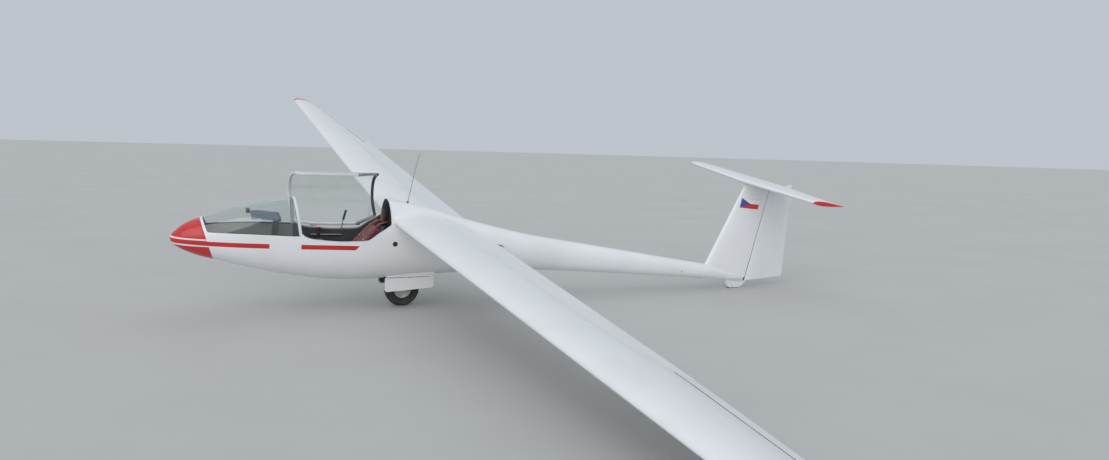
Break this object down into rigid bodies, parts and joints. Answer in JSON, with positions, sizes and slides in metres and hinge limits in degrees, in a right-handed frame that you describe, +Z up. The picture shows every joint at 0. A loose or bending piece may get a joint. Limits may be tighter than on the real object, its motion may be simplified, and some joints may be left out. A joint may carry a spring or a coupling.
{
  "type": "sailplane glider",
  "caption": "Sailplane glider with long tapered wing, T-tail and side-hinged canopy held open, parked on main wheel, tail skid and one wing-tip skid.",
  "frame": {"origin": "bottom centre of the bounding box, on the ground under the parked glider", "axes": "+X aft along the fuselage, +Y to starboard along the wing, +Z up from the ground; the glider leans 8.75 degrees to port about X"},
  "size_m": [7.0452, 14.8368, 2.4001],
  "materials": {
    "white_gelcoat": "gloss white gel-coat with deep red nose, stripes and tips",
    "white_metal": "gloss white paint on aluminium sheet",
    "clear_acrylic": "clear, very slightly green acrylic",
    "white_frame": "white frame with a dark inner face and a black rear hoop",
    "cabin_lining": "matt dark grey",
    "seat_cloth": "dark red cloth",
    "headrest_cloth": "black cloth",
    "black_trim": "satin black",
    "skid_steel": "worn steel",
    "tyre_rubber": "dusty black rubber",
    "bare_metal": "satin aluminium"
  },
  "bodies": {
    "root": {"front_fuselage": "white_gelcoat", "windscreen": "clear_acrylic", "windscreen_arch": "white_frame", "rear_bulkhead": "cabin_lining", "seat_pan": "cabin_lining", "back_cushion": "seat_cloth", "seat_cushion": "seat_cloth", "headrest": "headrest_cloth", "instrument_panel": "black_trim", "panel_hood": "cabin_lining", "compass": "black_trim", "control_stick": "black_trim", "left_pedal": "bare_metal", "right_pedal": "bare_metal", "floor_board": "cabin_lining", "left_wing": "white_gelcoat", "left_tip_skid": "black_trim", "right_wing": "white_gelcoat", "right_tip_skid": "black_trim", "tailplane": "white_gelcoat", "tail_boom": "white_metal", "fin": "white_gelcoat", "wheel_axle": "bare_metal", "left_gear_leg": "bare_metal", "right_gear_leg": "bare_metal", "gear_cross_tube": "bare_metal", "tail_skid": "white_gelcoat", "skid_shoe": "skid_steel", "whip_aerial": "black_trim"},
    "canopy": {"canopy_frame": "white_frame", "canopy_glass": "clear_acrylic"},
    "left_aileron": {"left_aileron": "white_gelcoat"},
    "left_airbrake": {"left_airbrake": "bare_metal"},
    "right_aileron": {"right_aileron": "white_gelcoat"},
    "right_airbrake": {"right_airbrake": "bare_metal"},
    "elevator": {"elevator": "white_gelcoat"},
    "rudder": {"rudder": "white_gelcoat"},
    "main_wheel": {"tyre": "tyre_rubber", "wheel_hub": "bare_metal"},
    "left_gear_door": {"left_gear_door": "white_gelcoat"},
    "right_gear_door": {"right_gear_door": "white_gelcoat"}
  },
  "joints": [
    {"name": "main_wheel_spin", "type": "hinge", "parent": "root", "child": "main_wheel", "pos_m": [-1.35461, 0.16117, 0.1754], "axis": [0, 0.9884, 0.1521], "continuous": true},
    {"name": "canopy_hinge", "type": "hinge", "parent": "root", "child": "canopy", "pos_m": [-2.03861, 0.33744, 0.82477], "axis": [1, 0, 0], "range_deg": [0, 83]},
    {"name": "rudder_hinge", "type": "hinge", "parent": "root", "child": "rudder", "pos_m": [2.95268, 0.16832, 0.12894], "axis": [0.1662, -0.15, 0.9746], "range_deg": [-30, 30]},
    {"name": "elevator_hinge", "type": "hinge", "parent": "root", "child": "elevator", "pos_m": [3.11639, -0.00963, 1.28508], "axis": [0, 0.9884, 0.1521], "range_deg": [-25, 20]},
    {"name": "left_aileron_hinge", "type": "hinge", "parent": "root", "child": "left_aileron", "pos_m": [-0.85365, -4.1923, 0.33843], "axis": [0.0719, 0.9931, 0.0928], "range_deg": [-20, 20]},
    {"name": "right_aileron_hinge", "type": "hinge", "parent": "root", "child": "right_aileron", "pos_m": [-0.85365, 4.26412, 1.64], "axis": [-0.0719, 0.975, 0.2102], "range_deg": [-20, 20]},
    {"name": "left_airbrake_slide", "type": "slide", "parent": "root", "child": "left_airbrake", "axis": [0, -0.1521, 0.9884], "range_m": [0, 0.07]},
    {"name": "right_airbrake_slide", "type": "slide", "parent": "root", "child": "right_airbrake", "axis": [0, -0.1521, 0.9884], "range_m": [0, 0.07]},
    {"name": "left_gear_door_hinge", "type": "hinge", "parent": "root", "child": "left_gear_door", "pos_m": [-1.31361, -0.00367, 0.31292], "axis": [1, 0, 0], "range_deg": [0, 22]},
    {"name": "right_gear_door_hinge", "type": "hinge", "parent": "root", "child": "right_gear_door", "pos_m": [-1.31361, 0.27703, 0.35613], "axis": [1, 0, 0], "range_deg": [-22, 0]}
  ],
  "couplings": [
    {"joint": "right_aileron_hinge", "follows": "left_aileron_hinge", "ratio": -1},
    {"joint": "right_airbrake_slide", "follows": "left_airbrake_slide", "ratio": 1}
  ]
}
